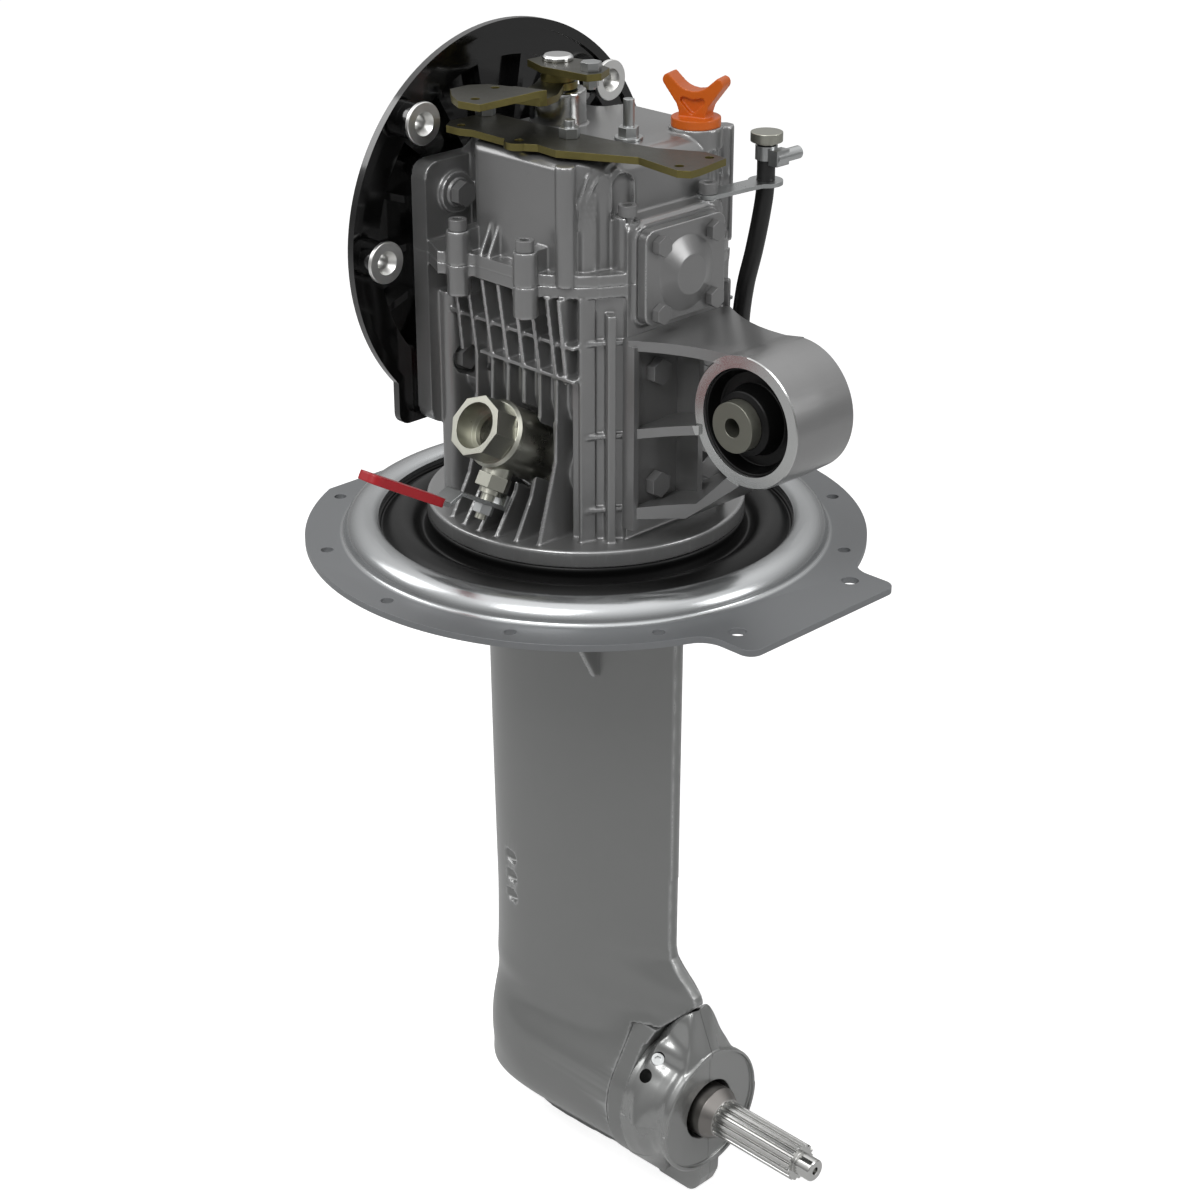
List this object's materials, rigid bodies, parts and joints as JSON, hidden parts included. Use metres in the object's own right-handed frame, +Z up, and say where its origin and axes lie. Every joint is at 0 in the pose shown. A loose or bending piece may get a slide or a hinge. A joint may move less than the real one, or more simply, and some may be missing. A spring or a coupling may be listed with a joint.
{
  "type": "saildrive",
  "caption": "Boat drive leg with an engine adapter, split gear casing, hull ring with rubber diaphragm, slim leg and splined propeller shaft.",
  "frame": {"origin": "centre of the hull ring's underside, where it beds on the hull", "axes": "+Z up, +X aft along the propeller shaft, +Y to starboard"},
  "size_m": [0.434, 0.4344, 0.916],
  "materials": {
    "casting_grey": "satin paint over a sand casting",
    "leg_grey": "smooth satin paint",
    "ring_alloy": "satin grey paint, the rolled bead glossy",
    "rubber": "matt moulded rubber",
    "hose_rubber": "satin rubber hose",
    "adapter_black": "gloss black enamel",
    "turned_aluminium": "turned, bright",
    "painted_bolts": "painted over with the casting",
    "zinc_dark": "dull zinc plate",
    "zinc_bright": "bright zinc plate",
    "yellow_zinc": "olive chromate plate with brassy edges",
    "nickel": "nickel plated brass",
    "chrome": "polished chrome",
    "seat_white": "plain sealing plastic",
    "red_vinyl": "dipped vinyl",
    "orange_plastic": "moulded plastic",
    "steel": "machined steel",
    "shaft_steel": "ground and polished",
    "bronze": "machined bronze",
    "anode_zinc": "painted zinc casting, fairly glossy"
  },
  "bodies": {
    "drive": {"hull_ring": "ring_alloy", "diaphragm": "rubber", "lower_housing": "casting_grey", "upper_housing": "casting_grey", "leg_casting": "leg_grey", "engine_adapter": "adapter_black", "adapter_bushings": "turned_aluminium", "adapter_bolts": "painted_bolts", "split_screws": "painted_bolts", "rear_cover": "casting_grey", "rear_cover_bolts": "painted_bolts", "mount_bracket": "casting_grey", "bracket_bolts": "painted_bolts", "bush_rubber": "rubber", "bush_sleeve": "zinc_dark", "valve_body": "nickel", "valve_end": "nickel", "valve_seats": "seat_white", "gland_nut": "nickel", "cable_bracket": "yellow_zinc", "bracket_studs": "zinc_bright", "gear_bearings": "steel", "input_bearings": "steel", "input_seal": "rubber", "shaft_bearings": "steel", "prop_bearings": "steel", "prop_seal": "rubber", "bearing_carrier": "leg_grey", "anode_port": "anode_zinc", "anode_starboard": "anode_zinc", "anode_screws": "zinc_bright", "oil_hose": "hose_rubber", "hose_plug": "nickel", "leg_bolts": "zinc_bright", "hose_clamp": "zinc_bright", "hose_strap": "zinc_bright"},
    "prop_shaft_group": {"prop_shaft": "shaft_steel", "prop_gear": "steel"},
    "upright_group": {"vertical_shaft": "steel", "lower_pinion": "steel"},
    "input_group": {"input_shaft": "steel", "input_pinion": "steel"},
    "ahead_gear_group": {"ahead_gear": "steel"},
    "astern_gear_group": {"astern_gear": "steel"},
    "clutch_group": {"clutch_cone": "bronze"},
    "fork_group": {"shift_fork": "steel"},
    "shift_group": {"shift_shaft": "steel", "shift_lever": "yellow_zinc", "lever_plate": "yellow_zinc", "shaft_cap": "chrome", "clamp_bolt": "zinc_bright"},
    "valve_group": {"valve_ball": "chrome", "valve_stem": "nickel", "valve_lever": "zinc_bright", "lever_grip": "red_vinyl", "lever_nut": "zinc_bright"},
    "filler_group": {"filler_cap": "orange_plastic", "dipstick": "zinc_bright", "cap_seal": "rubber"}
  },
  "joints": [
    {"name": "propeller_shaft_spin", "type": "hinge", "parent": "drive", "child": "prop_shaft_group", "pos_m": [0, 0, -0.458], "axis": [1, 0, 0], "continuous": true},
    {"name": "upright_shaft_spin", "type": "hinge", "parent": "drive", "child": "upright_group", "pos_m": [0, 0, 0], "axis": [0, 0, 1], "continuous": true},
    {"name": "input_shaft_spin", "type": "hinge", "parent": "drive", "child": "input_group", "pos_m": [0, 0, 0.22], "axis": [1, 0, 0], "continuous": true},
    {"name": "ahead_gear_spin", "type": "hinge", "parent": "drive", "child": "ahead_gear_group", "pos_m": [0, 0, 0.22], "axis": [0, 0, 1], "continuous": true},
    {"name": "astern_gear_spin", "type": "hinge", "parent": "drive", "child": "astern_gear_group", "pos_m": [0, 0, 0.22], "axis": [0, 0, 1], "continuous": true},
    {"name": "shift_lever_turn", "type": "hinge", "parent": "drive", "child": "shift_group", "pos_m": [-0.027, 0, 0], "axis": [0, 0, 1], "range_deg": [-25, 25]},
    {"name": "clutch_slide", "type": "slide", "parent": "upright_group", "child": "clutch_group", "axis": [0, 0, 1], "range_m": [-0.004, 0.004]},
    {"name": "fork_slide", "type": "slide", "parent": "drive", "child": "fork_group", "axis": [0, 0, 1], "range_m": [-0.004, 0.004]},
    {"name": "valve_lever_turn", "type": "hinge", "parent": "drive", "child": "valve_group", "pos_m": [0.017, -0.092, 0.102], "axis": [0, -0.5, -0.866], "range_deg": [0, 90]},
    {"name": "filler_cap_lift", "type": "slide", "parent": "drive", "child": "filler_group", "axis": [0, 0, 1], "range_m": [0, 0.16]}
  ],
  "couplings": [
    {"joint": "upright_shaft_spin", "follows": "propeller_shaft_spin", "ratio": -1.8667},
    {"joint": "ahead_gear_spin", "follows": "input_shaft_spin", "ratio": -0.83333},
    {"joint": "astern_gear_spin", "follows": "input_shaft_spin", "ratio": 0.83333},
    {"joint": "clutch_slide", "follows": "shift_lever_turn", "m_per_rad": 0.0091673},
    {"joint": "fork_slide", "follows": "shift_lever_turn", "m_per_rad": 0.0091673}
  ]
}
